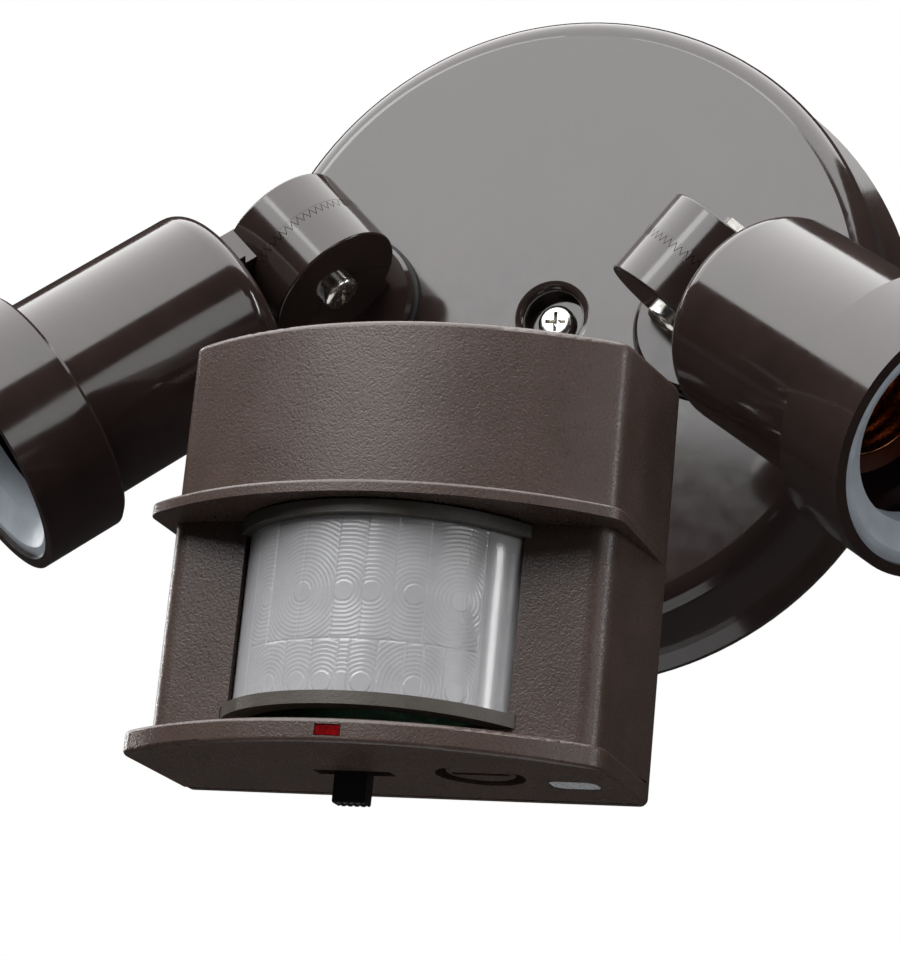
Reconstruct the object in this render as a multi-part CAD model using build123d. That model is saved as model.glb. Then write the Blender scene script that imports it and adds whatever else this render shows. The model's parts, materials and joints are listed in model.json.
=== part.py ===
"""Motion sensor security light: a round wall canopy, two adjustable lampholders and an infrared sensor head.

Millimetres, +Z up. The origin is the centre of the canopy's back on the wall, and the object faces -Y.
"""

from build123d import *
import os
from math import cos, radians, sin

os.makedirs("parts", exist_ok=True)

# ---- fits ----
running_gap = 0.06  # radial clearance of a shaft that turns in its bore
thread_gap = 0.05  # radial clearance of a screw in its own thread
face_gap = 0.3  # between parts that slide or swing past each other
seat_gap = 0.15  # between a part and the pocket that it drops into

# ---- canopy ----
rim_radius = 75.0  # back rim, a nominal 150 mm
face_radius = 71.2  # where the side wall meets the front edge
canopy_depth = 32.0
canopy_edge = 5.0  # rounding round the front face
canopy_wall = 2.2
wall_gasket_thick = 2.0
wall_gasket_width = 7.0
well_radius = 6.5  # recess for the centre screw
well_depth = 5.0
well_lip = 2.0
screw_head_radius = 4.1
screw_head_height = 2.4
screw_radius = 2.05  # number 8 machine screw

# ---- mounting strap ----
strap_length = 104.0
strap_width = 19.0
strap_thick = 1.6
box_spacing = 88.9  # ceiling-box screws of a 4 inch box
slot_length = 13.0
slot_radius = 2.3
ground_x = 22.0
ground_radius = 1.75

# ---- arm hubs on the canopy ----
left_hub = (-46.4, 3.6)  # X and Z
right_hub = (34.6, -3.2)
sensor_hub = (0.0, -36.0)
hub_radius = 15.0
hub_thick = 2.5
hub_gasket_thick = 1.5
stem_radius = 8.0
stem_bore = 4.0
stem_hole_gap = 0.1
locknut_radius = 12.5
locknut_thick = 4.5
stem_tail = 3.0  # thread that stands past the locknut
arm_radius = 8.0

# ---- lampholders ----
left_aim = (-56.42, -40.48)  # azimuth from straight ahead, elevation
right_aim = (58.91, -33.57)
knuckle_radius = 15.5
knuckle_clear = 0.5  # between the knuckle's rim and the hub
knuckle_reach = canopy_depth + hub_gasket_thick + hub_thick + knuckle_clear + knuckle_radius
knuckle_half = 10.25
knuckle_edge = 0.6
tooth_height = 1.2  # serrations fill this much each side of the seam
tooth_radius = 10.5  # inner radius of the serrated ring
knuckle_screw_radius = 2.4
knuckle_head_radius = 4.3
knuckle_head_height = 2.6
knuckle_nut_radius = 4.6
knuckle_nut_height = 3.2
barrel_start = 20.0  # rear of the barrel from the knuckle's axis
barrel_length = 46.76
barrel_radius = 22.76
barrel_edge = 5.0
lamp_wall = 2.2
collar_length = 18.77
collar_radius = 27.61
neck_width = 18.0
neck_step = 2.5  # each side of the neck is this much wider near the barrel
shell_radius = 13.2  # inside of an E26 screw shell
shell_thick = 0.5
shell_length = 24.0
socket_radius = 17.5
socket_length = 30.0
socket_start = 30.0
socket_floor = 3.0
socket_screw_y = 5.5
socket_screw_radius = 1.5
pedestal_radius = 9.0
contact_thick = 0.6
contact_width = 5.0
contact_rise = 1.9
seal_inner = 18.5
seal_length = 9.0
seal_set_back = 1.2

# ---- sensor head ----
sensor_back = 93.5  # back of the head in front of the wall
sensor_half = 46.0
sensor_top = -36.7
sensor_bottom = -118.0
sensor_wall = 2.0
cover_thick = 2.0
front_half = 43.0  # front corners of the upper part
upper_corner = 27.0
upper_nose = 41.3
panel_corner = 28.5
panel_nose = 31.0
body_edge = 4.5
lip_corner = 33.0
lip_nose = 50.6
lip_edge = 6.0
lip_top = -113.6
visor_bottom = -72.3
visor_thick = 2.3
lens_radius = 30.0
lens_centre = 15.0  # centre of the lens's curve in front of the head's back
lens_half = 27.0
lens_top = -75.1
lens_bottom = -107.9
lens_thick = 0.8
flange_half = 30.5
flange_out = 2.0
flange_thick = 2.4
frame_wall = 1.2
upright_width = 3.4
rear_box_half = 30.0
rear_box_top = -45.0
rear_box_bottom = -106.0
rear_box_deep = 9.5
cover_screw_x = 39.0
cover_screw_radius = 1.3

# ---- boards and their parts ----
board_thick = 1.6
board_w = 8.0  # back of the main board in front of the head's back
board_half = 36.0
board_top = -42.0
board_bottom = -105.0
board_hole_inset = 3.0
board_hole_radius = 1.6
can_radius = 4.6
can_height = 4.2
can_rim = 0.5
relay_size = (19.0, 15.0, 15.5)
relay_corner = (12.0, -66.0)  # X and Z of its lower left corner
capacitor_place = (-22.0, -58.0)
capacitor_radius = 5.0
capacitor_length = 16.0
terminal_size = (24.0, 8.0, 10.0)
terminal_low = -99.0
terminal_pitch = 8.0
control_board_low = -109.2
control_board_thick = 1.2
control_board_left = -16.0
control_board_back = 12.0
control_board_front = 23.5

# ---- controls in the floor of the head ----
switch_x = -3.5
switch_w = 23.0
switch_slot = (15.0, 4.0)
switch_body_half = 10.0
knob_length = 6.4
knob_drop = 6.0
knob_groove_pitch = 1.28
dial_x = 21.0
dial_w = 24.0
dial_recess_radius = 8.3
dial_recess_deep = 3.5
dial_radius = 6.5
dial_shaft = 2.0
pot_half = 4.2
photocell_radius = 2.5
led_radius = 1.5
cell_x = 37.0
cell_w = 18.0
cell_size = (9.2, 7.0)
led_x = 0.7
led_size = (4.9, 2.1)
led_z = -115.8

# ---- sensor head swivel ----
pivot_reach = 58.0  # tilt axis in front of the wall
pivot_z = -58.0
pan_reach = 76.0
barrel_half = 7.0
ear_thick = 4.5
ear_radius = 7.5
link_radius = 7.0
link_web = 5.0
pin_radius = 2.0

front = Plane(origin=(0, 0, 0), x_dir=(1, 0, 0), z_dir=(0, -1, 0))  # X, up, out from the wall
CENTRE_UP = (Align.CENTER, Align.CENTER, Align.MIN)


def write(name, *solids):
    """One STEP file holds one node, of one or several solids."""
    shape = solids[0] if len(solids) == 1 else Compound(children=list(solids))
    export_step(shape, f"parts/{name}.step")


def turned(*points):
    """A solid turned about Z from points of radius and height."""
    outline = make_face(Polyline(*points, close=True))
    return revolve(Plane.XZ * outline, Axis.Z)


def rod(radius, start, end):
    """A cylinder between two points."""
    line = Vector(*end) - Vector(*start)
    return Plane(origin=start, z_dir=line) * Cylinder(radius, line.length, align=CENTRE_UP)


def ring(outer, inner, height):
    """A flat ring that stands on Z = 0."""
    return Cylinder(outer, height, align=CENTRE_UP) - Cylinder(inner, height, align=CENTRE_UP)


def block(low, high):
    """A box between two corners."""
    size = [b - a for a, b in zip(low, high)]
    return Pos(*low) * Box(*size, align=(Align.MIN, Align.MIN, Align.MIN))


def hexagon(radius, height):
    """A hexagonal prism that stands on Z = 0, radius over its corners."""
    return extrude(RegularPolygon(radius, 6), amount=height)


def pan_head_screw(head_radius, head_height, shank_radius, shank_length):
    """A cross-recessed pan-head screw whose head stands up from Z = 0 and whose shank goes down."""
    head = Cylinder(head_radius, head_height, align=CENTRE_UP)
    head = fillet(head.edges().group_by(Axis.Z)[-1], head_height * 0.6)
    shank = Pos(0, 0, -shank_length) * Cylinder(shank_radius, shank_length, align=CENTRE_UP)
    arm = head_radius * 1.1
    slot = head_radius * 0.2
    deep = head_height * 0.6
    recess = Pos(0, 0, head_height) * (Box(arm, slot, 2 * deep) + Box(slot, arm, 2 * deep))
    return head + shank - recess


# ------------------------------------------------------------------ canopy


def canopy_cover():
    """The drawn round cover, hollow behind, with a screw well and three hub holes."""
    back = wall_gasket_thick
    outer = turned(
        (0, back), (rim_radius, back), (rim_radius, back + 1.5),
        (face_radius + 1.2, back + 4), (face_radius, canopy_depth), (0, canopy_depth),
    )
    outer = fillet(outer.edges().group_by(Axis.Z)[-1], canopy_edge)
    inside_face = canopy_depth - canopy_wall
    inner = turned(
        (0, back), (rim_radius - canopy_wall, back), (face_radius - canopy_wall, back + 4),
        (face_radius - canopy_wall - 0.4, inside_face), (0, inside_face),
    )
    inner = fillet(inner.edges().group_by(Axis.Z)[-1], canopy_edge - canopy_wall)
    well_floor = canopy_depth - well_depth
    boss = Pos(0, 0, well_floor - canopy_wall) * Cylinder(
        well_radius + canopy_wall, well_depth + canopy_wall, align=CENTRE_UP
    )
    cover = outer - inner + boss
    cover -= Pos(0, 0, well_floor) * Cylinder(well_radius, well_depth, align=CENTRE_UP)
    mouth = cover.edges().filter_by(GeomType.CIRCLE).filter_by(
        lambda e: abs(e.radius - well_radius) < 0.01 and e.center().Z > canopy_depth - 0.01
    )
    cover = fillet(mouth, well_lip)
    cover -= Cylinder(screw_radius + 0.3, canopy_depth, align=CENTRE_UP)
    for x, z in (left_hub, right_hub, sensor_hub):
        cover -= Pos(x, z, 0) * Cylinder(stem_radius + stem_hole_gap, canopy_depth, align=CENTRE_UP)
    return front * cover


def wall_gasket():
    """The foam ring between the canopy's rim and the wall."""
    outer = rim_radius - 0.5
    return front * ring(outer, outer - wall_gasket_width, wall_gasket_thick)


def mounting_strap():
    """A flat steel strap with two slots for the box screws and a tapped centre."""
    strap = Box(strap_length, strap_width, strap_thick, align=CENTRE_UP)
    strap = fillet(strap.edges().filter_by(Axis.Z), 3)
    for side in (-1, 1):
        slot = extrude(SlotOverall(slot_length, 2 * slot_radius), amount=strap_thick)
        strap -= Pos(side * box_spacing / 2, 0, 0) * slot
    strap -= Cylinder(screw_radius + thread_gap, strap_thick, align=CENTRE_UP)
    strap -= Pos(ground_x, 0, 0) * Cylinder(ground_radius + thread_gap, strap_thick, align=CENTRE_UP)
    return front * strap


def ground_screw():
    """The earth screw in the strap."""
    screw = pan_head_screw(3.6, 2.0, ground_radius, strap_thick - 0.2)
    return front * Pos(ground_x, 0, strap_thick) * screw


def centre_screw():
    """The long screw that holds the canopy on the strap."""
    seat = canopy_depth - well_depth
    screw = pan_head_screw(screw_head_radius, screw_head_height, screw_radius, seat - 0.4)
    return front * Pos(0, 0, seat) * screw


def locknut(hub):
    """The ring nut that holds an arm's stem inside the canopy."""
    nut = ring(locknut_radius, stem_radius + running_gap, locknut_thick)
    for turn in range(6):
        notch = Rot(0, 0, 60 * turn) * Pos(locknut_radius, 0, 0) * Box(2.4, 4, 3 * locknut_thick)
        nut -= notch
    x, z = hub
    return front * Pos(x, z, canopy_depth - canopy_wall - locknut_thick) * nut


def hub_gasket(hub):
    """The rubber washer under an arm's hub."""
    x, z = hub
    washer = ring(hub_radius + 0.8, stem_radius + seat_gap, hub_gasket_thick)
    return front * Pos(x, z, canopy_depth) * washer


def hub_and_stem(hub):
    """The hub that sits on the canopy, and the threaded stem behind it."""
    x, z = hub
    inner_face = canopy_depth - canopy_wall
    tail = inner_face - locknut_thick - stem_tail
    seat = canopy_depth + hub_gasket_thick
    stem = Pos(0, 0, tail) * Cylinder(stem_radius, seat - tail, align=CENTRE_UP)
    hub_disc = Pos(0, 0, seat) * Cylinder(hub_radius, hub_thick, align=CENTRE_UP)
    hub_disc = chamfer(hub_disc.edges().group_by(Axis.Z)[-1], 0.8)
    return front * Pos(x, z, 0) * (stem + hub_disc)


# ------------------------------------------------------------------ lampholders


def aim_vector(aim):
    """The direction that a lamp points in."""
    azimuth, elevation = (radians(v) for v in aim)
    return Vector(sin(azimuth) * cos(elevation), -cos(azimuth) * cos(elevation), sin(elevation))


class Side:
    """Where one lampholder stands: its hub, its aim and its knuckle's frame."""

    def __init__(self, name, hub, aim, sign):
        self.name = name
        self.hub = hub
        self.beam = aim_vector(aim)
        flat = Vector(self.beam.Z, 0, -self.beam.X).normalized()
        self.down = flat * sign  # along the knuckle's axis, towards the arm
        over_hub = Vector(hub[0], -knuckle_reach, hub[1])
        self.knuckle = over_hub - self.down * knuckle_half / 2
        self.frame = Plane(origin=self.knuckle, x_dir=-self.down, z_dir=self.beam)
        self.to_wall = Plane(origin=self.knuckle, x_dir=-self.down, z_dir=(0, 1, 0))


left = Side("left", left_hub, left_aim, -1)
right = Side("right", right_hub, right_aim, 1)


def lying(radius, x_from, x_to):
    """A cylinder along the knuckle's axis, in the lampholder's frame."""
    return rod(radius, (x_from, 0, 0), (x_to, 0, 0))


def knuckle_disc(x_sign, bore):
    """One half of the knuckle: a disc with its outer edge eased and a step at the seam for the teeth."""
    hub_face = x_sign * face_gap / 2
    ring_face = x_sign * tooth_height
    outer_face = x_sign * knuckle_half
    disc = lying(knuckle_radius, ring_face, outer_face)
    rims = disc.edges().filter_by(GeomType.CIRCLE).sort_by(Axis.X)
    disc = fillet(rims[-1] if x_sign > 0 else rims[0], knuckle_edge)
    disc += lying(tooth_radius, hub_face, ring_face)
    return disc - lying(bore, hub_face, outer_face)


def lamp_arm(side):
    """Hub, stem, a short flat neck and the arm's half of the knuckle over the hub."""
    disc = side.frame * knuckle_disc(-1, knuckle_screw_radius + seat_gap)
    hub_seat = canopy_depth + hub_gasket_thick
    into_hub = knuckle_reach - hub_seat - 1
    neck = block((-knuckle_half, -neck_width / 2, 0), (-tooth_height, neck_width / 2, into_hub))
    arm = hub_and_stem(side.hub) + side.to_wall * neck + disc
    shaft = side.frame * lying(knuckle_screw_radius + seat_gap, -knuckle_half, 0)
    x, z = side.hub
    return arm - shaft - rod(stem_bore, (x, 0, z), (x, -(hub_seat + hub_thick), z))


def knuckle_screw(side):
    """The screw that clamps the two halves: its head is in the arm, its end in the nut."""
    length = 2 * knuckle_half + knuckle_nut_height
    screw = pan_head_screw(knuckle_head_radius, knuckle_head_height, knuckle_screw_radius, length)
    head_down = Plane(origin=(-knuckle_half, 0, 0), x_dir=(0, 1, 0), z_dir=(-1, 0, 0))
    return side.frame * head_down * screw


def knuckle_nut(side):
    """The hexagonal nut on the knuckle's upper face."""
    nut = hexagon(knuckle_nut_radius, knuckle_nut_height)
    nut -= Cylinder(knuckle_screw_radius + thread_gap, knuckle_nut_height, align=CENTRE_UP)
    seat = Plane(origin=(knuckle_half + running_gap, 0, 0), x_dir=(0, 1, 0), z_dir=(1, 0, 0))
    return side.frame * seat * nut


def lamp_housing(side):
    """The lampholder's moulded housing: knuckle half, neck, barrel and wider collar, open in front."""
    barrel_end = barrel_start + barrel_length
    mouth = barrel_end + collar_length
    barrel = Pos(0, 0, barrel_start) * Cylinder(barrel_radius, barrel_length, align=CENTRE_UP)
    barrel = fillet(barrel.edges().group_by(Axis.Z)[0], barrel_edge)
    collar = Pos(0, 0, barrel_end) * Cylinder(collar_radius, collar_length, align=CENTRE_UP)
    collar = chamfer(collar.edges().group_by(Axis.Z)[0], 0.8)
    rear = barrel_start + lamp_wall
    barrel_inner = barrel_radius - lamp_wall
    collar_inner = collar_radius - lamp_wall
    step_z = barrel_end + lamp_wall
    hollow = turned(
        (0, rear), (barrel_radius - barrel_edge, rear),
        (barrel_inner, barrel_start + barrel_edge), (barrel_inner, step_z),
        (collar_inner, step_z), (collar_inner, mouth), (0, mouth),
    )
    bore = knuckle_screw_radius + running_gap
    disc = knuckle_disc(1, bore)
    half_width = neck_width / 2
    wide = half_width + neck_step
    neck_end = barrel_start + lamp_wall
    neck = block((tooth_height + 0.2, -half_width, 0), (knuckle_half, half_width, neck_end))
    neck += block((tooth_height + 0.2, -wide, knuckle_radius), (knuckle_half - 3, wide, neck_end))
    neck -= lying(bore, 0, knuckle_half + 1)
    housing = barrel + collar - hollow + disc + neck
    return side.frame * housing


def lamp_seal(side):
    """The soft ring in the collar that the lamp's glass presses on."""
    mouth = barrel_start + barrel_length + collar_length
    outer = collar_radius - lamp_wall
    low = mouth - seal_set_back - seal_length
    high = mouth - seal_set_back
    seal = turned(
        (seal_inner, low), (outer, low), (outer, high),
        (outer - 2.2, high), (seal_inner, high - 4),
    )
    return side.frame * seal


def lamp_socket(side):
    """The phenolic body that holds the screw shell, seated on the barrel's rear wall by a pedestal."""
    body = Pos(0, 0, socket_start) * Cylinder(socket_radius, socket_length, align=CENTRE_UP)
    body -= Pos(0, 0, socket_start + socket_floor) * Cylinder(
        shell_radius + shell_thick, socket_length - socket_floor, align=CENTRE_UP
    )
    foot_start = barrel_start + lamp_wall
    body += Pos(0, 0, foot_start) * Cylinder(pedestal_radius, socket_start - foot_start, align=CENTRE_UP)
    for sign in (-1, 1):
        hole = Cylinder(socket_screw_radius + thread_gap, socket_start + socket_floor, align=CENTRE_UP)
        body -= Pos(0, sign * socket_screw_y, 0) * hole
    return side.frame * body


def socket_screws(side):
    """The two screws that hold the socket to the barrel's rear."""
    screws = []
    seat = socket_start + socket_floor
    for sign in (-1, 1):
        screw = pan_head_screw(2.6, 1.2, socket_screw_radius, seat - barrel_start - lamp_wall - 0.3)
        screws.append(side.frame * Pos(0, sign * socket_screw_y, seat) * screw)
    return screws


def screw_shell(side):
    """The brass shell that takes the lamp's E26 thread."""
    start = socket_start + socket_length - shell_length
    shell = ring(shell_radius + shell_thick, shell_radius, shell_length)
    return side.frame * Pos(0, 0, start) * shell


def centre_contact(side):
    """The spring tab that touches the lamp's tip."""
    floor = socket_start + socket_floor
    foot = Pos(0, 0, floor) * Box(contact_width, contact_width, contact_thick, align=CENTRE_UP)
    post_x = (contact_thick - contact_width) / 2
    post = Pos(post_x, 0, floor) * Box(contact_thick, contact_width, contact_rise, align=CENTRE_UP)
    leaf = Pos(0, 0, floor + contact_rise) * Box(contact_width, contact_width, contact_thick, align=CENTRE_UP)
    return side.frame * (foot + post + leaf)


# ------------------------------------------------------------------ sensor arm and swivel


def sensor_arm():
    """Hub, stem and sloping arm with a fork for the tilt screw."""
    x, z = sensor_hub
    start = (x, -(canopy_depth + hub_gasket_thick + 3), z)
    turn = (x, -(canopy_depth + 12), z - 5)
    fork_back = -(pivot_reach - ear_radius - face_gap)
    end = (x, fork_back + 3, pivot_z + 2)
    width = barrel_half + face_gap + ear_thick
    bridge = block((-width, fork_back, pivot_z - ear_radius), (width, fork_back + 6, pivot_z + ear_radius))
    arm = hub_and_stem(sensor_hub) + rod(arm_radius, start, turn) + rod(arm_radius, turn, end)
    arm = arm + Pos(*turn) * Sphere(arm_radius) + bridge
    for sign in (-1, 1):
        near = sign * (barrel_half + face_gap)
        far = sign * width
        low, high = min(near, far), max(near, far)
        arm += rod(ear_radius, (low, -pivot_reach, pivot_z), (high, -pivot_reach, pivot_z))
        arm += block((low, -pivot_reach, pivot_z - ear_radius), (high, fork_back + 1, pivot_z + ear_radius))
    room = barrel_half + face_gap
    arm -= block((-room, -pivot_reach - 20, pivot_z - 20), (room, fork_back, pivot_z + 12))
    arm -= rod(pin_radius + thread_gap, (-width - 1, -pivot_reach, pivot_z), (width + 1, -pivot_reach, pivot_z))
    return arm - rod(stem_bore, (x, 0, z), (x, -(canopy_depth + hub_gasket_thick + hub_thick), z))


def swivel_link():
    """The cross piece: a lying barrel for tilt and a standing barrel for pan, joined by a web."""
    lying_barrel = rod(link_radius, (-barrel_half, -pivot_reach, pivot_z), (barrel_half, -pivot_reach, pivot_z))
    standing = rod(link_radius, (0, -pan_reach, pivot_z - barrel_half), (0, -pan_reach, pivot_z + barrel_half))
    web = block((-link_web, -pan_reach, pivot_z - link_web), (link_web, -pivot_reach, pivot_z + link_web))
    link = lying_barrel + standing + web
    bore = pin_radius + running_gap
    link -= rod(bore, (-barrel_half, -pivot_reach, pivot_z), (barrel_half, -pivot_reach, pivot_z))
    return link - rod(bore, (0, -pan_reach, pivot_z - barrel_half), (0, -pan_reach, pivot_z + barrel_half))


def swivel_screw_and_nut():
    """A screw through both ears and its nut, along Z and centred on the link's barrel."""
    span = barrel_half + face_gap + ear_thick
    screw = Pos(0, 0, span) * pan_head_screw(3.8, 2.4, pin_radius, 2 * span + 2.8)
    nut = hexagon(3.8, 2.6) - Cylinder(pin_radius + thread_gap, 2.6, align=CENTRE_UP)
    return screw, Pos(0, 0, -span - 2.6) * nut


tilt_place = Plane(origin=(0, -pivot_reach, pivot_z), x_dir=(0, 0, 1), z_dir=(1, 0, 0))
pan_place = Plane(origin=(0, -pan_reach, pivot_z), x_dir=(1, 0, 0), z_dir=(0, 0, -1))


# ------------------------------------------------------------------ sensor head


def d_outline(back_half, corner_half, start, corner, nose, edge, inset=0.0):
    """A plan outline: straight back, sides that run to the front corners, and a bowed front."""
    back = -(sensor_back + start)
    side = -(sensor_back + corner) + inset * 0.8
    tip = -(sensor_back + nose) + inset
    outline = make_face(
        Line((-corner_half + inset, side), (-back_half + inset, back))
        + Line((-back_half + inset, back), (back_half - inset, back))
        + Line((back_half - inset, back), (corner_half - inset, side))
        + ThreePointArc((corner_half - inset, side), (0, tip), (-corner_half + inset, side))
    )
    corners = outline.vertices().filter_by(lambda v: abs(v.Y - side) < 0.001)
    return fillet(corners, max(edge - inset, 0.5))


def slab(outline, low, high):
    """An outline raised between two heights."""
    return extrude(Pos(0, 0, low) * outline, amount=high - low)


upper_shape = (sensor_half, front_half, cover_thick, upper_corner, upper_nose, body_edge)
panel_shape = (sensor_half, front_half, cover_thick, panel_corner, panel_nose, body_edge)
lip_shape = (sensor_half, sensor_half, cover_thick, lip_corner, lip_nose, lip_edge)


def sensor_housing():
    """The head's front shell: upper part, visor, lens panel, lip and floor with its control openings."""
    visor_top = visor_bottom + visor_thick
    shell = slab(d_outline(*upper_shape), visor_bottom, sensor_top)
    shell = fillet(shell.edges().group_by(Axis.Z)[-1], 1.2)
    visor = slab(d_outline(*lip_shape), visor_bottom, visor_top)
    visor = fillet(visor.edges().group_by(Axis.Z)[-1], 0.7)
    shell += visor
    shell += slab(d_outline(*panel_shape), lip_top, visor_bottom)
    lip = slab(d_outline(*lip_shape), sensor_bottom, lip_top)
    lip = fillet(lip.edges().group_by(Axis.Z)[-1] + lip.edges().group_by(Axis.Z)[0], 0.8)
    shell += lip
    floor = sensor_bottom + sensor_wall
    shell -= slab(d_outline(*upper_shape, inset=sensor_wall), visor_top, sensor_top - sensor_wall)
    shell -= slab(d_outline(*panel_shape, inset=sensor_wall), floor, visor_top + 0.01)
    window_half = lens_half + seat_gap
    slot_half = flange_half + seat_gap
    window_front = -(sensor_back + panel_nose + 1)
    window_back = -(sensor_back + panel_corner - sensor_wall - 1)
    low, high = lens_bottom - flange_thick - seat_gap, lens_top + flange_thick + seat_gap
    shell -= block((-window_half, window_front, low), (window_half, window_back, high))
    reach = Pos(0, -(sensor_back + lens_centre), low) * Cylinder(
        lens_radius + flange_out + seat_gap, high - low, align=CENTRE_UP
    )
    for z_low, z_high in ((low, lens_bottom), (lens_top, high)):
        shell -= reach & block((-slot_half, window_front, z_low), (slot_half, window_back, z_high))
    return cut_controls(shell)


def cut_controls(shell):
    """The floor's slot, dial recess, photocell window and indicator window."""
    floor = sensor_bottom + sensor_wall
    slot = Pos(switch_x, -(sensor_back + switch_w), sensor_bottom) * Box(*switch_slot, sensor_wall, align=CENTRE_UP)
    shell -= slot
    at_dial = Pos(dial_x, -(sensor_back + dial_w), sensor_bottom)
    cup_height = dial_recess_deep + sensor_wall
    reach = dial_recess_radius + 1
    cup = Cylinder(reach, cup_height, align=CENTRE_UP)
    keep = block((dial_x - reach, -(sensor_back + lip_corner), sensor_bottom), (dial_x + reach, -sensor_back - 4, 0))
    shell += at_dial * cup & keep
    shell -= at_dial * Cylinder(dial_recess_radius, dial_recess_deep, align=CENTRE_UP)
    shell -= at_dial * Cylinder(dial_shaft + running_gap, cup_height, align=CENTRE_UP)
    cell = Pos(cell_x, -(sensor_back + cell_w), sensor_bottom) * extrude(
        RectangleRounded(*cell_size, 2.4), amount=sensor_wall
    )
    shell -= cell
    w_inner = panel_corner - sensor_wall
    shell -= block(
        (led_x - led_size[0] / 2, -(sensor_back + lip_nose + 1), led_z - led_size[1] / 2),
        (led_x + led_size[0] / 2, -(sensor_back + w_inner), led_z + led_size[1] / 2),
    )
    return shell


def rear_cover():
    """The back plate with a hollow box behind it and two lugs for the pan screw."""
    plate_front = -(sensor_back + cover_thick)
    plate = block((-sensor_half, plate_front, sensor_bottom), (sensor_half, -sensor_back, sensor_top))
    plate = fillet(plate.edges().filter_by(Axis.Y), 1.5)
    box_back = -(sensor_back - rear_box_deep)
    bulge = block((-rear_box_half, -sensor_back, rear_box_bottom), (rear_box_half, box_back, rear_box_top))
    bulge = fillet(bulge.edges().group_by(Axis.Y)[-1], 3)
    inside = block(
        (-rear_box_half + sensor_wall, plate_front, rear_box_bottom + sensor_wall),
        (rear_box_half - sensor_wall, box_back - sensor_wall, rear_box_top - sensor_wall),
    )
    cover = plate + bulge - inside
    for sign in (-1, 1):
        near = sign * (barrel_half + face_gap)
        far = near + sign * ear_thick
        low, high = pivot_z + min(near, far), pivot_z + max(near, far)
        cover += rod(ear_radius, (0, -pan_reach, low), (0, -pan_reach, high))
        cover += block((-ear_radius, box_back - 1, low), (ear_radius, -pan_reach, high))
    cover -= rod(pin_radius + thread_gap, (0, -pan_reach, pivot_z - 20), (0, -pan_reach, pivot_z + 20))
    for x, z in cover_screw_places():
        cover -= Pos(x, -sensor_back, z) * Rot(90, 0, 0) * Cylinder(cover_screw_radius + thread_gap, 30)
    return cover


def cover_screw_places():
    """The four corners where the rear cover is screwed on."""
    return [(x, z) for x in (-cover_screw_x, cover_screw_x) for z in (sensor_bottom + 9, sensor_top - 7)]


def cover_screws():
    """Four screws from behind."""
    screws = []
    for x, z in cover_screw_places():
        place = Plane(origin=(x, -sensor_back, z), x_dir=(1, 0, 0), z_dir=(0, 1, 0))
        screws.append(place * pan_head_screw(2.8, 1.6, cover_screw_radius, 9))
    return screws


def lens_sector(outer, inner, low, high, half):
    """A curved strip about the lens's centre line, cut off at each side."""
    centre = Pos(0, -(sensor_back + lens_centre), low)
    strip = centre * ring(outer, inner, high - low)
    front_y = -(sensor_back + lens_centre + outer + 1)
    back_y = -(sensor_back + panel_corner - sensor_wall - 1)
    return strip & block((-half, front_y, low), (half, back_y, high))


def lens():
    """The thin curved lens sheet."""
    return lens_sector(lens_radius, lens_radius - lens_thick, lens_bottom, lens_top, lens_half)


def lens_frame():
    """The moulded frame: a curved flange above and below the lens, joined by two uprights behind its edges."""
    inner = lens_radius - lens_thick - seat_gap - frame_wall
    outer = lens_radius + flange_out
    top = lens_sector(outer, inner, lens_top, lens_top + flange_thick, flange_half)
    foot = lens_sector(outer, inner, lens_bottom - flange_thick, lens_bottom, flange_half)
    uprights = lens_sector(inner + frame_wall, inner, lens_bottom - 0.8, lens_top + 0.8, lens_half)
    clear = lens_half - upright_width
    uprights -= block((-clear, -(sensor_back + 80), lens_bottom - 5), (clear, -sensor_back, lens_top + 5))
    return top + foot + uprights


def circuit_board():
    """The main board, upright behind the lens."""
    near = -(sensor_back + board_w)
    board = block((-board_half, near - board_thick, board_bottom), (board_half, near, board_top))
    hole = Rot(90, 0, 0) * Cylinder(board_hole_radius, 3 * board_thick)
    for x in (board_hole_inset - board_half, board_half - board_hole_inset):
        for z in (board_bottom + board_hole_inset, board_top - board_hole_inset):
            board -= Pos(x, near - board_thick / 2, z) * hole
    return board


def pir_detector():
    """The infrared detector's can with its window, on the board's face."""
    face = sensor_back + board_w + board_thick
    middle_z = (lens_top + lens_bottom) / 2
    inner = can_radius - can_rim
    can = turned(
        (0, 0), (can_radius, 0), (can_radius, can_rim), (inner, can_rim), (inner, can_height), (0, can_height)
    )
    can -= Pos(0, 0, can_height) * Box(4, 3, 0.8)
    return front * Pos(0, middle_z, face) * can


def relay():
    """The relay that switches the lamps."""
    face = -(sensor_back + board_w + board_thick)
    x, z = relay_corner
    width, depth, height = relay_size
    box = block((x, face - depth, z), (x + width, face, z + height))
    return fillet(box.edges().filter_by(Axis.Y), 0.8)


def capacitor():
    """The mains dropper capacitor."""
    face = sensor_back + board_w + board_thick
    can = Cylinder(capacitor_radius, capacitor_length, align=CENTRE_UP)
    can = fillet(can.edges().group_by(Axis.Z)[-1], 0.8)
    return front * Pos(*capacitor_place, face) * can


def terminal_block():
    """Wire terminals on the back of the board, in the rear box."""
    near = -(sensor_back + board_w)
    width, depth, height = terminal_size
    body = block((-width / 2, near, terminal_low), (width / 2, near + depth, terminal_low + height))
    for x in (-terminal_pitch, 0, terminal_pitch):
        body -= Pos(x, near + depth, terminal_low + height / 2) * Rot(90, 0, 0) * Cylinder(2.2, 6)
    return body


def control_board():
    """The small board over the floor that carries the controls."""
    x_high = cell_x + photocell_radius + 0.5
    top = control_board_low + control_board_thick
    low = (control_board_left, -(sensor_back + control_board_front), control_board_low)
    return block(low, (x_high, -(sensor_back + control_board_back), top))


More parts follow.
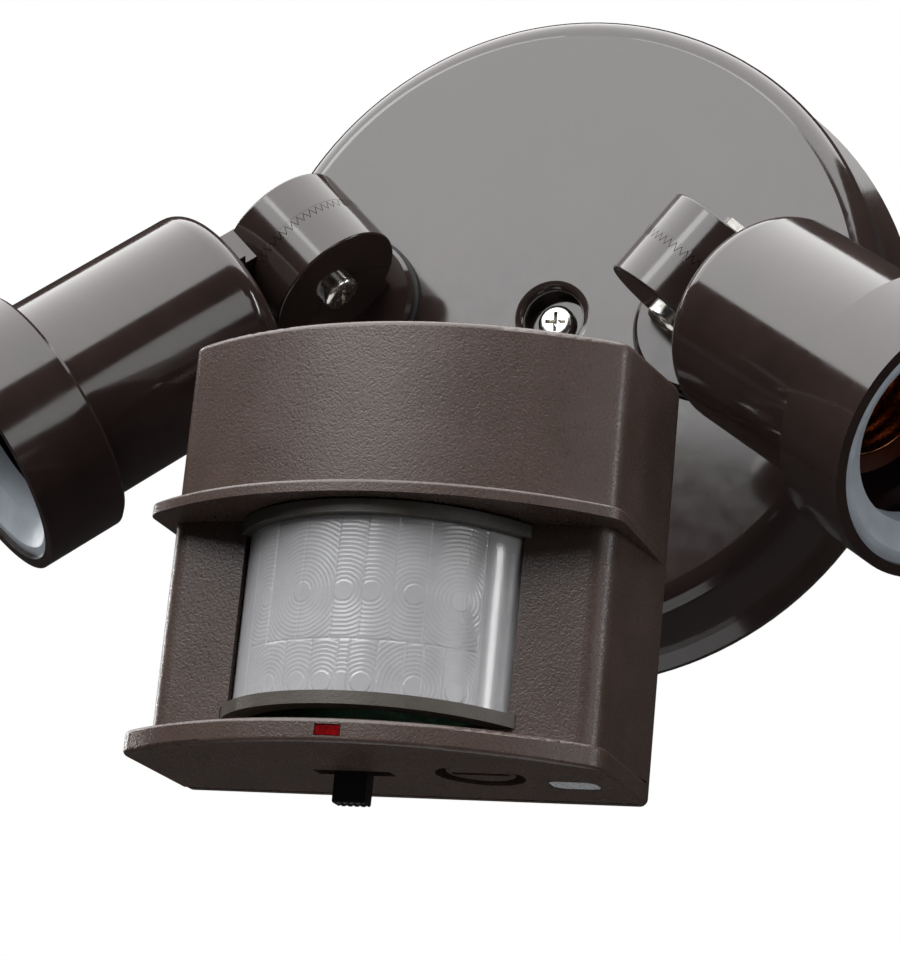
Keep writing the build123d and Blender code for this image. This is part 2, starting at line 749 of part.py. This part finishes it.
def mode_switch():
    """The slide switch's body."""
    low = sensor_bottom + sensor_wall + 1.3
    at_y = -(sensor_back + switch_w)
    half = switch_body_half
    return block((switch_x - half, at_y - 2.9, low), (switch_x + half, at_y + 3.1, control_board_low))


def mode_knob():
    """The slide switch's knob: a flange inside, a stem in the slot and a grooved end outside."""
    floor = sensor_bottom + sensor_wall
    flange = Pos(0, 0, floor + 0.1) * Box(knob_length + 3, switch_slot[1] + 1.4, 0.9, align=CENTRE_UP)
    stem = Pos(0, 0, sensor_bottom - knob_drop) * Box(
        knob_length, switch_slot[1] - 0.5, knob_drop + sensor_wall + 0.2, align=CENTRE_UP
    )
    stem = fillet(stem.edges().group_by(Axis.Z)[0], 0.5)
    knob = flange + stem
    groove = Rot(0, 45, 0) * Box(0.6, 2 * switch_slot[1], 0.6)
    for n in range(-2, 3):
        knob -= Pos(n * knob_groove_pitch, 0, sensor_bottom - knob_drop) * groove
    return Pos(switch_x, -(sensor_back + switch_w), 0) * knob


def range_potentiometer():
    """The rotary control under the small board."""
    low = sensor_bottom + dial_recess_deep + sensor_wall + 0.2
    at_y = -(sensor_back + dial_w)
    body = block((dial_x - pot_half, at_y - 2.3, low), (dial_x + pot_half, at_y + 6, control_board_low))
    return body - Pos(dial_x, at_y, low) * Cylinder(dial_shaft + running_gap, 2.4)


def range_knob():
    """The slotted adjusting knob and its shaft."""
    low = sensor_bottom + 0.4
    disc = Pos(0, 0, low) * Cylinder(dial_radius, dial_recess_deep - 0.4 - face_gap, align=CENTRE_UP)
    disc = fillet(disc.edges().group_by(Axis.Z)[0], 0.5)
    shaft_top = sensor_bottom + dial_recess_deep + sensor_wall + 1.2
    shaft = Pos(0, 0, low + 1) * Cylinder(dial_shaft, shaft_top - low - 1, align=CENTRE_UP)
    slot = Pos(0, 0, low) * Box(2 * dial_radius - 2, 1.8, 2.4)
    return Pos(dial_x, -(sensor_back + dial_w), 0) * (disc + shaft - slot)


def photocell_window():
    """The pale window that lets daylight in to the photocell."""
    size = [v - 2 * seat_gap for v in cell_size]
    pane = extrude(RectangleRounded(*size, 2.4 - seat_gap), amount=sensor_wall - 0.3)
    return Pos(cell_x, -(sensor_back + cell_w), sensor_bottom + 0.1) * pane


def photocell():
    """The light cell that keeps the lamps off by day."""
    low = sensor_bottom + sensor_wall + 1.0
    cell = Pos(0, 0, low) * Cylinder(photocell_radius, 2.0, align=CENTRE_UP)
    leg = Cylinder(0.3, control_board_low - low - 2, align=CENTRE_UP)
    for x in (-photocell_radius / 2, photocell_radius / 2):
        cell += Pos(x, 0, low + 2) * leg
    return Pos(cell_x, -(sensor_back + cell_w), 0) * cell


def led_window():
    """The red light pipe in the lip."""
    half, high = led_size[0] / 2 - seat_gap, led_size[1] / 2 - seat_gap
    w_inner = panel_corner - sensor_wall
    return block(
        (led_x - half, -(sensor_back + lip_nose - 0.2), led_z - high),
        (led_x + half, -(sensor_back + w_inner), led_z + high),
    )


def indicator_led():
    """The red lamp behind the light pipe."""
    at_x = dial_x - pot_half - 4.1
    at_y = -(sensor_back + control_board_front - led_radius)
    return Pos(at_x, at_y, control_board_low - 3) * Cylinder(led_radius, 3, align=CENTRE_UP)


# ------------------------------------------------------------------ every node

write("canopy_cover", canopy_cover())
write("wall_gasket", wall_gasket())
write("mounting_strap", mounting_strap())
write("ground_screw", ground_screw())
write("centre_screw", centre_screw())

for side in (left, right):
    write(f"{side.name}_locknut", locknut(side.hub))
    write(f"{side.name}_arm_gasket", hub_gasket(side.hub))
    write(f"{side.name}_arm", lamp_arm(side))
    write(f"{side.name}_knuckle_screw", knuckle_screw(side))
    write(f"{side.name}_knuckle_nut", knuckle_nut(side))
    write(f"{side.name}_lamp_housing", lamp_housing(side))
    write(f"{side.name}_lamp_seal", lamp_seal(side))
    write(f"{side.name}_lamp_socket", lamp_socket(side))
    write(f"{side.name}_socket_screws", *socket_screws(side))
    write(f"{side.name}_screw_shell", screw_shell(side))
    write(f"{side.name}_centre_contact", centre_contact(side))

write("sensor_locknut", locknut(sensor_hub))
write("sensor_arm_gasket", hub_gasket(sensor_hub))
write("sensor_arm", sensor_arm())
write("swivel_link", swivel_link())
swivel_screw, swivel_nut = swivel_screw_and_nut()
write("tilt_screw", tilt_place * swivel_screw)
write("tilt_nut", tilt_place * swivel_nut)
write("pan_screw", pan_place * swivel_screw)
write("pan_nut", pan_place * swivel_nut)

write("sensor_housing", sensor_housing())
write("rear_cover", rear_cover())
write("cover_screws", *cover_screws())
write("lens", lens())
write("lens_frame", lens_frame())
write("circuit_board", circuit_board())
write("pir_detector", pir_detector())
write("relay", relay())
write("capacitor", capacitor())
write("terminal_block", terminal_block())
write("control_board", control_board())
write("mode_switch", mode_switch())
write("mode_knob", mode_knob())
write("range_potentiometer", range_potentiometer())
write("range_knob", range_knob())
write("photocell", photocell())
write("photocell_window", photocell_window())
write("indicator_led", indicator_led())
write("led_window", led_window())
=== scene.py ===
import json
from bisect import bisect_right
from math import asin, cos, hypot, pi, radians, sin

import bpy
from mathutils import Matrix, Vector


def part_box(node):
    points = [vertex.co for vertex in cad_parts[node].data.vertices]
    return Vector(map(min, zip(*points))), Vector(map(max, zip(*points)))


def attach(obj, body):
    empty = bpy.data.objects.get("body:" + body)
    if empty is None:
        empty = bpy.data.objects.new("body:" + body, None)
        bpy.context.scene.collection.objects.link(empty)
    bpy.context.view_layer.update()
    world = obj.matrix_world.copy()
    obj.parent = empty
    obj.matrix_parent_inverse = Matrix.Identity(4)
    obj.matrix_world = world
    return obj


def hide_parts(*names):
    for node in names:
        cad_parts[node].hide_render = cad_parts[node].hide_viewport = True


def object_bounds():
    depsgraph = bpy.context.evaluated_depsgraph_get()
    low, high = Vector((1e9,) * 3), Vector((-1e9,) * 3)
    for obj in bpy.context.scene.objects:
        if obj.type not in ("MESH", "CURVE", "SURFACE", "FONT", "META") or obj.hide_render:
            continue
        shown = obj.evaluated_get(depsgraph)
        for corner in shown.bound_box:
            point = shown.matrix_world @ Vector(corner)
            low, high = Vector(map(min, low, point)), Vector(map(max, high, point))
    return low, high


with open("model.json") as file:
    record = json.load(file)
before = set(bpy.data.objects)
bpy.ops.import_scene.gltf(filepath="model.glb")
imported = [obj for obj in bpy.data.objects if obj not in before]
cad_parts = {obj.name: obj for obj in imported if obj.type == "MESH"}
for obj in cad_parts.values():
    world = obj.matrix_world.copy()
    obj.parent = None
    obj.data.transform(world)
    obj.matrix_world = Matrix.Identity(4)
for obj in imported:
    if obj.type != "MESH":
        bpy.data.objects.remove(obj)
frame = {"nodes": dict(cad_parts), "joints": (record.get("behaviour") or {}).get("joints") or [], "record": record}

cad_box = [list(corner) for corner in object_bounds()]
MM = 0.001
NODES = frame["nodes"]
JOINTS = {joint["name"]: joint for joint in frame["joints"]}
MOUNTS = {mount["name"]: mount for mount in frame["record"]["mounts"]}


# ---------------------------------------------------------------- colours and shader nodes


def paint(code):
    """An sRGB hex colour as linear light."""
    channels = [int(code[i:i + 2], 16) / 255 for i in (1, 3, 5)]
    linear = [c / 12.92 if c <= 0.04045 else ((c + 0.055) / 1.055) ** 2.4 for c in channels]
    return (*linear, 1.0)


def add(tree, kind, inputs=None, **settings):
    """Adds a node, sets its properties, and links or sets its inputs by name or number."""
    node = tree.nodes.new(kind)
    for name, value in settings.items():
        setattr(node, name, value)
    for name, value in (inputs or {}).items():
        if isinstance(value, bpy.types.NodeSocket):
            tree.links.new(value, node.inputs[name])
        else:
            node.inputs[name].default_value = value
    return node


# A noise texture's grey mostly lies between these two.
GREY_LOW, GREY_HIGH = 0.3, 0.7


def surface(name, tones, width, shine=None, shine_width=None, grain=None, pebbled=None, sockets=None):
    """A material of two cloudy tones, with an uneven shine and a raised grain where they are given.

    width and shine_width say how wide the clouds of tone and of shine are, and grain how wide and how high its lumps
    are, all in millimetres. shine is the lowest and highest roughness. pebbled is the roughness and distortion of the
    grain's own texture, and then the shine follows the grain. sockets are set on the shader itself.
    """
    material = bpy.data.materials.new(name)
    material.use_nodes = True
    tree = material.node_tree
    tree.nodes.clear()
    place = add(tree, "ShaderNodeTexCoord").outputs["Object"]
    cloud = add(tree, "ShaderNodeTexNoise", {"Vector": place, "Scale": 1 / (width * MM)})
    tone = add(
        tree, "ShaderNodeMapRange", {"Value": cloud.outputs["Fac"], "From Min": GREY_LOW, "From Max": GREY_HIGH}
    )
    colour = add(
        tree, "ShaderNodeMix",
        {"Factor": tone.outputs["Result"], "A": paint(tones[0]), "B": paint(tones[1])}, data_type="RGBA",
    )
    wanted = {"Base Color": colour.outputs["Result"], **(sockets or {})}
    if grain:
        lumps = add(tree, "ShaderNodeTexNoise", {"Vector": place, "Scale": 1 / (grain[0] * MM)})
        if pebbled:
            lumps.inputs["Roughness"].default_value, lumps.inputs["Distortion"].default_value = pebbled
        raised = add(tree, "ShaderNodeBump", {"Height": lumps.outputs["Fac"], "Distance": grain[1] * MM})
        wanted["Normal"] = raised.outputs["Normal"]
    if shine:
        if pebbled:
            patches = lumps
        else:
            size = (shine_width or width / 3) * MM
            patches = add(tree, "ShaderNodeTexNoise", {"Vector": place, "Scale": 1 / size})
        uneven = add(
            tree, "ShaderNodeMapRange",
            {"Value": patches.outputs["Fac"], "From Min": GREY_LOW, "From Max": GREY_HIGH,
             "To Min": shine[0], "To Max": shine[1]},
        )
        wanted["Roughness"] = uneven.outputs["Result"]
    shader = add(tree, "ShaderNodeBsdfPrincipled", wanted)
    add(tree, "ShaderNodeOutputMaterial", {"Surface": shader.outputs["BSDF"]})
    return material


# ---------------------------------------------------------------- materials


FINISHES = {
    # Baked dark bronze enamel on drawn steel: a deep gloss with a faint orange peel.
    "bronze_paint": surface(
        "bronze_powder_coat", ("#2b2220", "#322826"), 18, (0.10, 0.14), shine_width=4.0, grain=(2.2, 0.004),
        sockets={"IOR": 1.52, "Coat Weight": 0.25, "Coat Roughness": 0.06},
    ),
    # Dark bronze thermoplastic from a polished mould: sharp reflections, with the slight waves of its flow.
    "bronze_gloss": surface(
        "bronze_gloss_plastic", ("#281f1d", "#302624"), 12, (0.09, 0.13), shine_width=3.0, grain=(7.0, 0.006),
        sockets={"IOR": 1.54},
    ),
    # The same plastic from a spark-eroded mould: pebbles about half a millimetre wide, satin between them.
    "bronze_grained": surface(
        "bronze_grained_plastic", ("#463933", "#4e403b"), 9, (0.24, 0.38), grain=(0.48, 0.075), pebbled=(0.55, 0.6),
    ),
    # The lens frame's grey-brown moulding, with the same fine grain and less shine.
    "frame_grey": surface(
        "frame_grained_plastic", ("#4b4641", "#544f49"), 6, (0.38, 0.5), grain=(0.5, 0.06), pebbled=(0.55, 0.5),
    ),
    # Thin moulded sheet of high-density polyethylene: milky and soft, with a waxy shine.
    "lens_milk": surface(
        "milky_polyethylene", ("#d3d3d6", "#dddde0"), 5, grain=(1.6, 0.01),
        sockets={"Roughness": 0.14, "IOR": 1.54, "Transmission Weight": 0.42},
    ),
    # Moulded acrylic light pipe, unlit: deep red, darker where it is thick.
    "window_red": surface(
        "red_acrylic", ("#4c0206", "#860408"), 1.2, sockets={"Roughness": 0.12, "IOR": 1.49},
    ),
    # Pale moulded diffuser over the light cell: even, with a soft shine.
    "window_grey": surface("pale_diffuser", ("#c4c6ca", "#d2d4d8"), 2.0, (0.22, 0.32), grain=(0.6, 0.01)),
    # Moulded nylon, black: dull along its ribs, slightly greasy on its flats.
    "black_plastic": surface("black_nylon", ("#101010", "#1a1a1a"), 2.0, (0.3, 0.45), grain=(0.35, 0.02)),
    # Bright zinc plate on cold-headed screws and nuts: near-white metal, slightly uneven.
    "bright_zinc": surface(
        "bright_zinc_plate", ("#c9c7c0", "#dddbd5"), 1.5, (0.16, 0.28), grain=(0.4, 0.006),
        sockets={"Metallic": 1.0},
    ),
    # Hot-dipped zinc on stamped strip: dull grey with faint spangle.
    "galvanised": surface(
        "galvanised_strip", ("#8d9090", "#a5a8a8"), 3.0, (0.35, 0.5), grain=(0.8, 0.01), sockets={"Metallic": 1.0},
    ),
    # Zinc plate under a green dye, as on a ground screw: metal that shows through colour.
    "ground_green": surface(
        "green_dyed_plate", ("#1f7a38", "#2c8f47"), 1.5, (0.25, 0.4), grain=(0.4, 0.006), sockets={"Metallic": 0.6},
    ),
    # Moulded silicone, pale blue-grey: matte with a slight bloom.
    "silicone_grey": surface(
        "pale_silicone", ("#a9b2bb", "#b9c1c9"), 5.0, (0.38, 0.5), grain=(0.7, 0.02), sockets={"IOR": 1.41},
    ),
    # Moulded rubber for the arms' gaskets: black and matte.
    "black_rubber": surface("black_rubber", ("#161616", "#1f1f1f"), 2.0, (0.5, 0.65), grain=(0.4, 0.02)),
    # Die-cut closed-cell foam: a dry, open skin of cells about a millimetre wide.
    "foam_black": surface("closed_cell_foam", ("#141414", "#202020"), 1.5, (0.8, 0.9), grain=(0.9, 0.15)),
    # Pressed phenolic resin of the sockets: red-brown, with a soft mottle.
    "phenolic": surface("red_brown_phenolic", ("#54291c", "#6a3524"), 3.0, (0.3, 0.42), grain=(0.8, 0.02)),
    # Copper plate on the drawn and rolled shell: warm and bright, with faint draw marks.
    "copper_shell": surface(
        "copper_plated_shell", ("#b87650", "#cf8f66"), 2.0, (0.18, 0.3), grain=(0.9, 0.01), sockets={"Metallic": 1.0},
    ),
    # Screen-printed solder mask on glass epoxy board: green, glossy over a faint weave.
    "board_green": surface("green_solder_mask", ("#0f4a26", "#166035"), 1.0, (0.25, 0.4), grain=(0.5, 0.02)),
    # Nickel plate on drawn cans and brass clamps: a warm grey metal.
    "can_nickel": surface("nickel_can", ("#b4b2ac", "#c8c6c0"), 1.0, (0.2, 0.3), sockets={"Metallic": 1.0}),
    # Moulded polyester case of the relay: plain blue with a satin skin.
    "relay_blue": surface("blue_relay_case", ("#1c4b9a", "#2558ab"), 2.0, (0.3, 0.4), grain=(0.6, 0.01)),
    # Dipped epoxy coat of the capacitor: yellow, glossy and a little lumpy.
    "capacitor_yellow": surface("yellow_epoxy_dip", ("#c08a1e", "#d19a2b"), 1.5, (0.25, 0.35), grain=(0.8, 0.03)),
    # Cast epoxy of the indicator lamp: red and glassy.
    "led_red": surface("red_led_epoxy", ("#a50d10", "#bd1418"), 1.0, (0.1, 0.2)),
}


def dress(thing, material):
    """Gives an object one material."""
    thing.data.materials.clear()
    thing.data.materials.append(material)


for entry in frame["record"]["subparts"]:
    dress(NODES[entry["node"]], FINISHES[entry["material_slot"]])


# ---------------------------------------------------------------- fine pieces


def mesh_piece(name, verts, faces, material, smooth=True):
    """An object from points in metres and faces."""
    mesh = bpy.data.meshes.new(name)
    mesh.from_pydata([tuple(v) for v in verts], [], [tuple(f) for f in faces])
    mesh.validate()
    mesh.polygons.foreach_set("use_smooth", [smooth] * len(mesh.polygons))
    piece = bpy.data.objects.new(name, mesh)
    bpy.context.scene.collection.objects.link(piece)
    dress(piece, material)
    return piece


def grid_faces(rows, columns, start=0, flip=False, wrap=False):
    """Quads over a grid of points stored row by row."""
    faces = []
    for i in range(rows - 1):
        for j in range(columns if wrap else columns - 1):
            k = (j + 1) % columns
            quad = [start + i * columns + j, start + i * columns + k,
                    start + (i + 1) * columns + k, start + (i + 1) * columns + j]
            faces.append(quad[::-1] if flip else quad)
    return faces


# The lens, in millimetres. Its zones are given by their distance round the curve from its middle.
LENS_RADIUS, LENS_THICK = 30.0, 0.8
LENS_COLUMNS, LENS_ROWS = 421, 206
UPPER_EDGES = (-24.0, -18.0, -10.0, -3.0, 2.5, 8.2, 14.2, 21.4, 25.0)
UPPER_CENTRES = (-19.4, -9.8, -9.8, -1.2, 4.0, 11.9, 20.4, 20.4)
LOWER_EDGES = (-24.0, -16.4, -12.2, -6.4, -1.0, 1.2, 6.3, 11.4, 14.8, 18.3, 25.0)
LOWER_CENTRES = (-16.2, -16.2, -9.0, -3.7, 0.1, 3.8, 13.4, 13.4, 13.4, 21.0)
UPPER_HEIGHT, LOWER_HEIGHT = 18.7, 2.0      # of the rings' middles above the lens's foot
ZONE_SPLIT = 9.9        # height of the line between the two rows above the lens's foot
BORDER_DEPTH, BORDER_WIDTH = 0.1, 0.25      # of the line round each zone
RING_PITCH = 0.8        # real grooves are finer, and are drawn at the size that shows as separate rings
RING_DEPTH = 0.07
ZONE_LEAN = 0.03        # how steeply a zone's face turns away from its rings
LEAN_SHARE = 0.2        # every other zone has this share of the lean, so neighbours catch the light differently
PLAIN_DISC = 1.9        # the smooth middle of each set of rings


def groove_depth(s, z):
    """How far the lens's face is cut back at s round the curve and z up from its foot."""
    upper = z > ZONE_SPLIT
    edges = UPPER_EDGES if upper else LOWER_EDGES
    centres = UPPER_CENTRES if upper else LOWER_CENTRES
    if not edges[0] <= s < edges[-1]:
        return 0.0
    zone = bisect_right(edges, s) - 1
    to_edge = min(abs(s - edges[zone]), abs(s - edges[zone + 1]), abs(z - ZONE_SPLIT))
    border = BORDER_DEPTH * max(0.0, 1 - to_edge / BORDER_WIDTH)
    away = hypot(s - centres[zone], z - (UPPER_HEIGHT if upper else LOWER_HEIGHT))
    if away < PLAIN_DISC:
        return border
    saw = ((away - PLAIN_DISC) / RING_PITCH) % 1.0
    lean = ZONE_LEAN * abs(s - centres[zone]) * (1 if zone % 2 else LEAN_SHARE)
    return border + lean + RING_DEPTH * (1 - saw)


def fresnel_lens():
    """The milky sheet with its two rows of ringed zones cut into the front."""
    low, high = (Vector(c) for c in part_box("lens"))
    radius, columns, rows = LENS_RADIUS, LENS_COLUMNS, LENS_ROWS
    turn = asin((high.x - low.x) / 2 / MM / radius)
    centre_y = low.y / MM + radius
    height = (high.z - low.z) / MM
    verts = []
    for back in (False, True):
        for i in range(rows):
            z = height * i / (rows - 1)
            for j in range(columns):
                angle = -turn + 2 * turn * j / (columns - 1)
                reach = radius - (LENS_THICK if back else groove_depth(angle * radius, z))
                verts.append((reach * sin(angle) * MM, (centre_y - reach * cos(angle)) * MM, low.z + z * MM))
    start = rows * columns
    faces = grid_faces(rows, columns) + grid_faces(rows, columns, start, flip=True)
    last = (rows - 1) * columns
    for j in range(columns - 1):
        faces.append((j + 1, j, start + j, start + j + 1))
        faces.append((last + j, last + j + 1, start + last + j + 1, start + last + j))
    for i in range(rows - 1):
        a, b = i * columns, (i + 1) * columns
        faces.append((a, b, start + b, start + a))
        a, b = a + columns - 1, b + columns - 1
        faces.append((b, a, start + a, start + b))
    piece = mesh_piece("lens_zones", verts, faces, FINISHES["lens_milk"])
    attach(piece, "sensor_head")
    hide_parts("lens")


def lamp_frame(side):
    """The lampholder's own axes: origin at the knuckle, X up the knuckle's axis, Z along the beam."""
    joint = JOINTS[f"{side}_lamp_tilt"]
    up = Vector(joint["axis"]).normalized()
    if side == "right":
        up = -up
    beam = Vector(MOUNTS[f"{side}_lamp_socket"]["axis"]).normalized()
    across = beam.cross(up)
    place = Matrix((up, across, beam)).transposed().to_4x4()
    return Matrix.Translation(Vector(joint["pos_m"])) @ place


# The knuckle's teeth, in millimetres from the middle of its seam. One notch is six degrees.
TEETH = 60
SEAM_INNER, SEAM_OUTER = 10.55, 15.45
TOOTH_RISE = 0.85
SEAM_FLAT = 1.2
SEAM_GAP = 0.15


def knuckle_teeth(side):
    """The two rings of radial teeth that lock the knuckle, one on the arm and one on the lampholder."""
    place = lamp_frame(side)
    for body, sign in ((f"{side}_arm", -1), (f"{side}_lamp", 1)):
        verts = []
        steps = 2 * TEETH
        for n in range(steps):
            angle = 2 * pi * n / steps
            crest = (TOOTH_RISE if n % 2 else -TOOTH_RISE) + sign * SEAM_GAP
            for radius in (SEAM_INNER, SEAM_OUTER):
                for x in (sign * SEAM_FLAT, crest):
                    point = Vector((x, radius * cos(angle), radius * sin(angle))) * MM
                    verts.append(place @ point)
        faces = []
        for n in range(steps):
            a, b = 4 * n, 4 * ((n + 1) % steps)
            ring_quads = [(a, b, b + 1, a + 1), (a + 1, b + 1, b + 3, a + 3),
                          (a + 3, b + 3, b + 2, a + 2), (a + 2, b + 2, b, a)]
            faces += [quad[::-1] for quad in ring_quads] if sign > 0 else ring_quads
        piece = mesh_piece(f"{body}_teeth", verts, faces, FINISHES["bronze_gloss"], smooth=False)
        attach(piece, body)


# The socket's shell, in millimetres along the beam from the knuckle. Its thread has seven turns to the inch.
SHELL_START, SHELL_LENGTH, SHELL_PITCH = 36.0, 24.0, 25.4 / 7
SHELL_MEAN, SHELL_WAVE, SHELL_HALF_THICK = 13.3, 0.28, 0.12
SHELL_EASE = 1.5        # the thread fades out over this length at each end
SHELL_COLUMNS, SHELL_ROWS = 96, 130


def threaded_shell(side):
    """The socket's shell with its rolled thread."""
    place = lamp_frame(side)
    columns, rows = SHELL_COLUMNS, SHELL_ROWS
    end = SHELL_START + SHELL_LENGTH
    verts = []
    for skin in (-SHELL_HALF_THICK, SHELL_HALF_THICK):
        for i in range(rows):
            z = SHELL_START + SHELL_LENGTH * i / (rows - 1)
            ease = min(1.0, (end - z) / SHELL_EASE, (z - SHELL_START) / SHELL_EASE)
            for j in range(columns):
                angle = 2 * pi * j / columns
                radius = SHELL_MEAN + SHELL_WAVE * ease * sin(2 * pi * z / SHELL_PITCH - angle) + skin
                verts.append(place @ (Vector((radius * cos(angle), radius * sin(angle), z)) * MM))
    outer = rows * columns
    top = (rows - 1) * columns
    faces = grid_faces(rows, columns, 0, wrap=True, flip=True) + grid_faces(rows, columns, outer, wrap=True)
    for j in range(columns):
        k = (j + 1) % columns
        faces.append((j, k, outer + k, outer + j))
        faces.append((top + k, top + j, outer + top + j, outer + top + k))
    piece = mesh_piece(f"{side}_thread", verts, faces, FINISHES["copper_shell"])
    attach(piece, f"{side}_lamp")
    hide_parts(f"{side}_screw_shell")


fresnel_lens()
for side in ("left", "right"):
    knuckle_teeth(side)
    threaded_shell(side)


# ---------------------------------------------------------------- stage, lights, camera


FLOOR_HALF, FLOOR_DROP = 0.7, 1.1       # metres: half its side, and how far it lies under the fixture


def studio_floor():
    """A plain pale floor well under the fixture."""
    mesh = bpy.data.meshes.new("studio_floor")
    half, low = FLOOR_HALF, cad_box[0][2] - FLOOR_DROP
    mesh.from_pydata(
        [(-half, -half, low), (half, -half, low), (half, half, low), (-half, half, low)], [], [(0, 1, 2, 3)]
    )
    slab = bpy.data.objects.new("studio_floor", mesh)
    bpy.context.scene.collection.objects.link(slab)
    # Rolled matte sheet: an even pale grey with no shine of its own.
    dress(slab, surface("pale_floor", ("#dcdcdc", "#e4e4e4"), 200, (0.7, 0.8)))


def soft_box(name, place, aim, size, watts):
    """A rectangular soft light that faces a point."""
    data = bpy.data.lights.new(name, "AREA")
    data.shape = "RECTANGLE"
    data.size, data.size_y = size
    data.energy = watts
    light = bpy.data.objects.new(name, data)
    bpy.context.scene.collection.objects.link(light)
    light.location = place
    light.rotation_euler = (Vector(aim) - Vector(place)).to_track_quat("-Z", "Y").to_euler()


def white_surround():
    """White behind the object, and a dim room for reflections and fill."""
    world = bpy.data.worlds.new("white_surround")
    bpy.context.scene.world = world
    world.use_nodes = True
    tree = world.node_tree
    tree.nodes.clear()
    seen = add(tree, "ShaderNodeBackground", {"Color": paint("#ffffff"), "Strength": 1.0})
    room = add(tree, "ShaderNodeBackground", {"Color": paint("#b9b6b4"), "Strength": 0.06})
    ray = add(tree, "ShaderNodeLightPath").outputs["Is Camera Ray"]
    mix = add(tree, "ShaderNodeMixShader", {0: ray, 1: room.outputs[0], 2: seen.outputs[0]})
    add(tree, "ShaderNodeOutputWorld", {"Surface": mix.outputs[0]})


CAMERA_PLACE = (0.19249, -0.64978, -0.22077)
CAMERA_YAW, CAMERA_PITCH, CAMERA_ROLL = radians(18.955), radians(15.757), radians(5.586)
CAMERA_LENS, CAMERA_SENSOR = 118.43, 36


def camera():
    """The viewpoint: below and to the right of the sensor head, looking up at it."""
    data = bpy.data.cameras.new("camera")
    data.sensor_width = CAMERA_SENSOR
    data.lens = CAMERA_LENS
    view = bpy.data.objects.new("camera", data)
    bpy.context.scene.collection.objects.link(view)
    swing = Matrix.Rotation(CAMERA_YAW, 4, "Z") @ Matrix.Rotation(pi / 2 + CAMERA_PITCH, 4, "X")
    view.matrix_world = Matrix.Translation(CAMERA_PLACE) @ (swing @ Matrix.Rotation(CAMERA_ROLL, 4, "Z"))
    bpy.context.scene.camera = view


studio_floor()
white_surround()
# A wide tent overhead lights the faces that look up and fills the gloss of the canopy and lampholders.
soft_box("ceiling_tent", (-0.65, -0.75, 1.2), (-0.65, -0.75, 0), (3.0, 2.7), 105)
# A panel in front gives the sensor head's curved front its broad highlight.
soft_box("front_panel", (-0.95, -2.3, 1.17), (0, -0.05, 0), (1.6, 0.85), 21)
# Narrow strips at the sides draw the long streaks on the lampholders.
soft_box("left_strip", (-1.45, 0.72, 0.4), (0, -0.1, -0.05), (0.22, 0.9), 9)
soft_box("far_right_strip", (1.6, -0.2, 0.4), (0, -0.1, -0.05), (0.14, 0.9), 5)
soft_box("right_strip", (1.3, -0.95, 0.06), (0, -0.05, 0), (0.6, 0.5), 2.2)
camera()
bpy.context.scene.view_settings.view_transform = "Standard"
